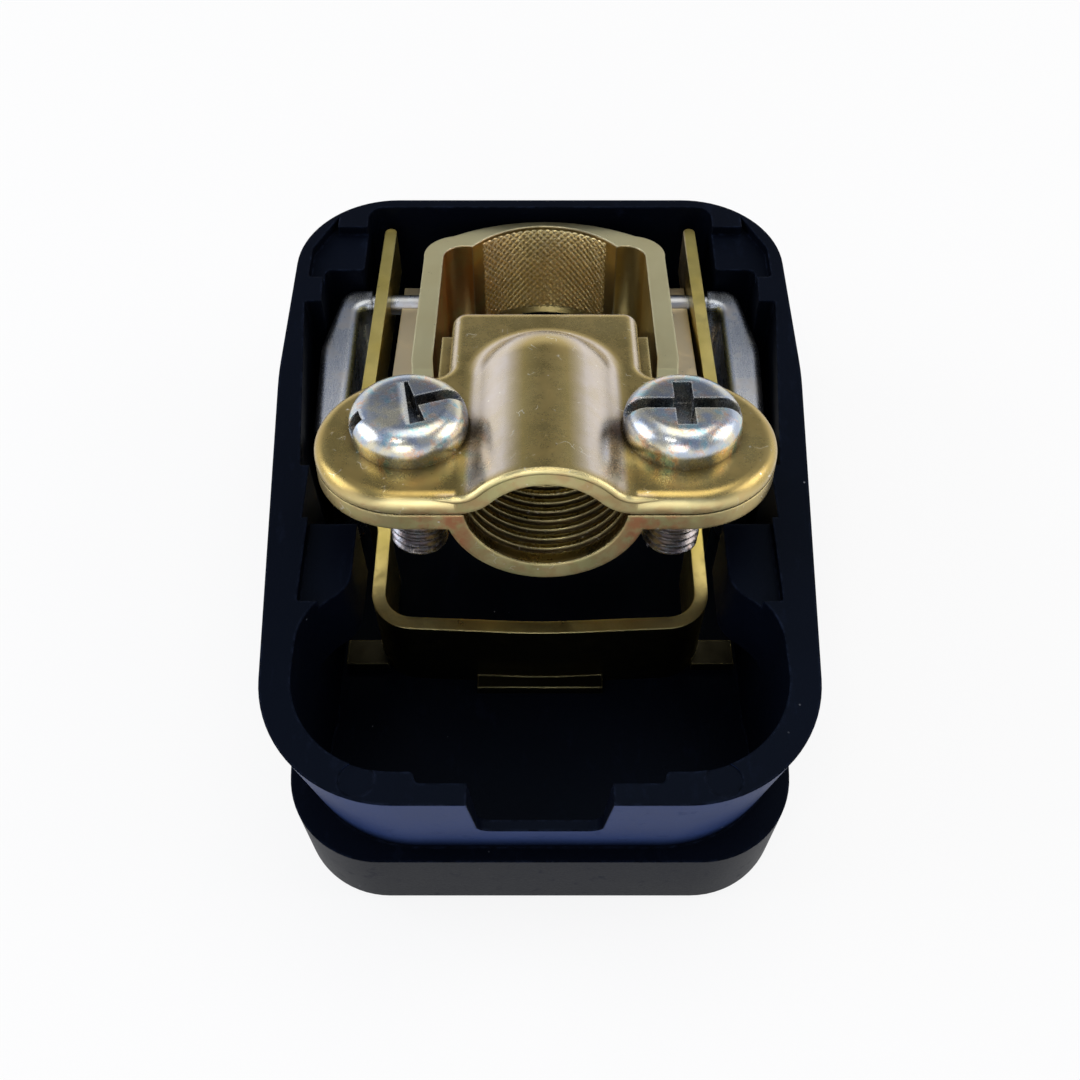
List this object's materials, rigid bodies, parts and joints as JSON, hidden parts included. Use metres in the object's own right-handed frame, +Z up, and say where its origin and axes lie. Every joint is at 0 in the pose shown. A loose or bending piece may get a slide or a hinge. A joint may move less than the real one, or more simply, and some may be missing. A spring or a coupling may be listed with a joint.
{
  "type": "battery terminal clamp",
  "caption": "Quick-release clamp for a round battery post: lever cover, hinged cable clamp and a post loop that draws in as the lever closes.",
  "frame": {"origin": "under the middle of the cover, on the face that it lies on", "axes": "+X across the clamp to the right seen from the cable end, +Y from the cable end to the post end, +Z up out of the open cover"},
  "size_m": [0.048, 0.0654, 0.0339],
  "materials": {
    "black_plastic": "lightly textured moulding",
    "strap_brass": "bright rolled strip",
    "clamp_brass": "satin tumbled",
    "loop_brass": "satin, knurled inside",
    "bright_steel": "bright pressed",
    "pin_steel": "bright turned",
    "zinc_plate": "zinc plated"
  },
  "bodies": {
    "lever": {"lever_cover": "black_plastic", "strap_frame": "strap_brass", "saddle": "bright_steel", "pivot_pin_left": "pin_steel", "pivot_pin_right": "pin_steel"},
    "clamp": {"upper_plate": "clamp_brass", "lower_plate": "clamp_brass", "link_left": "strap_brass", "link_right": "strap_brass"},
    "loop": {"post_loop": "loop_brass"},
    "left_screw": {"screw_left": "zinc_plate"},
    "right_screw": {"screw_right": "zinc_plate"}
  },
  "joints": [
    {"name": "lever_hinge", "type": "hinge", "parent": "lever", "child": "clamp", "pos_m": [0, 0.0221, 0.0175], "axis": [-1, 0, 0], "range_deg": [-10, 70]},
    {"name": "loop_draw", "type": "slide", "parent": "clamp", "child": "loop", "axis": [0, 0.9848, -0.1736], "range_m": [-0.0002, 0.0014]},
    {"name": "left_screw_turn", "type": "hinge", "parent": "clamp", "child": "left_screw", "pos_m": [-0.01045, -0.00411, 0.02951], "axis": [0, 0.1736, 0.9848], "continuous": true},
    {"name": "right_screw_turn", "type": "hinge", "parent": "clamp", "child": "right_screw", "pos_m": [0.01135, -0.00411, 0.02951], "axis": [0, 0.1736, 0.9848], "continuous": true}
  ],
  "couplings": [
    {"joint": "loop_draw", "follows": "lever_hinge", "m_per_rad": 0.00114}
  ]
}
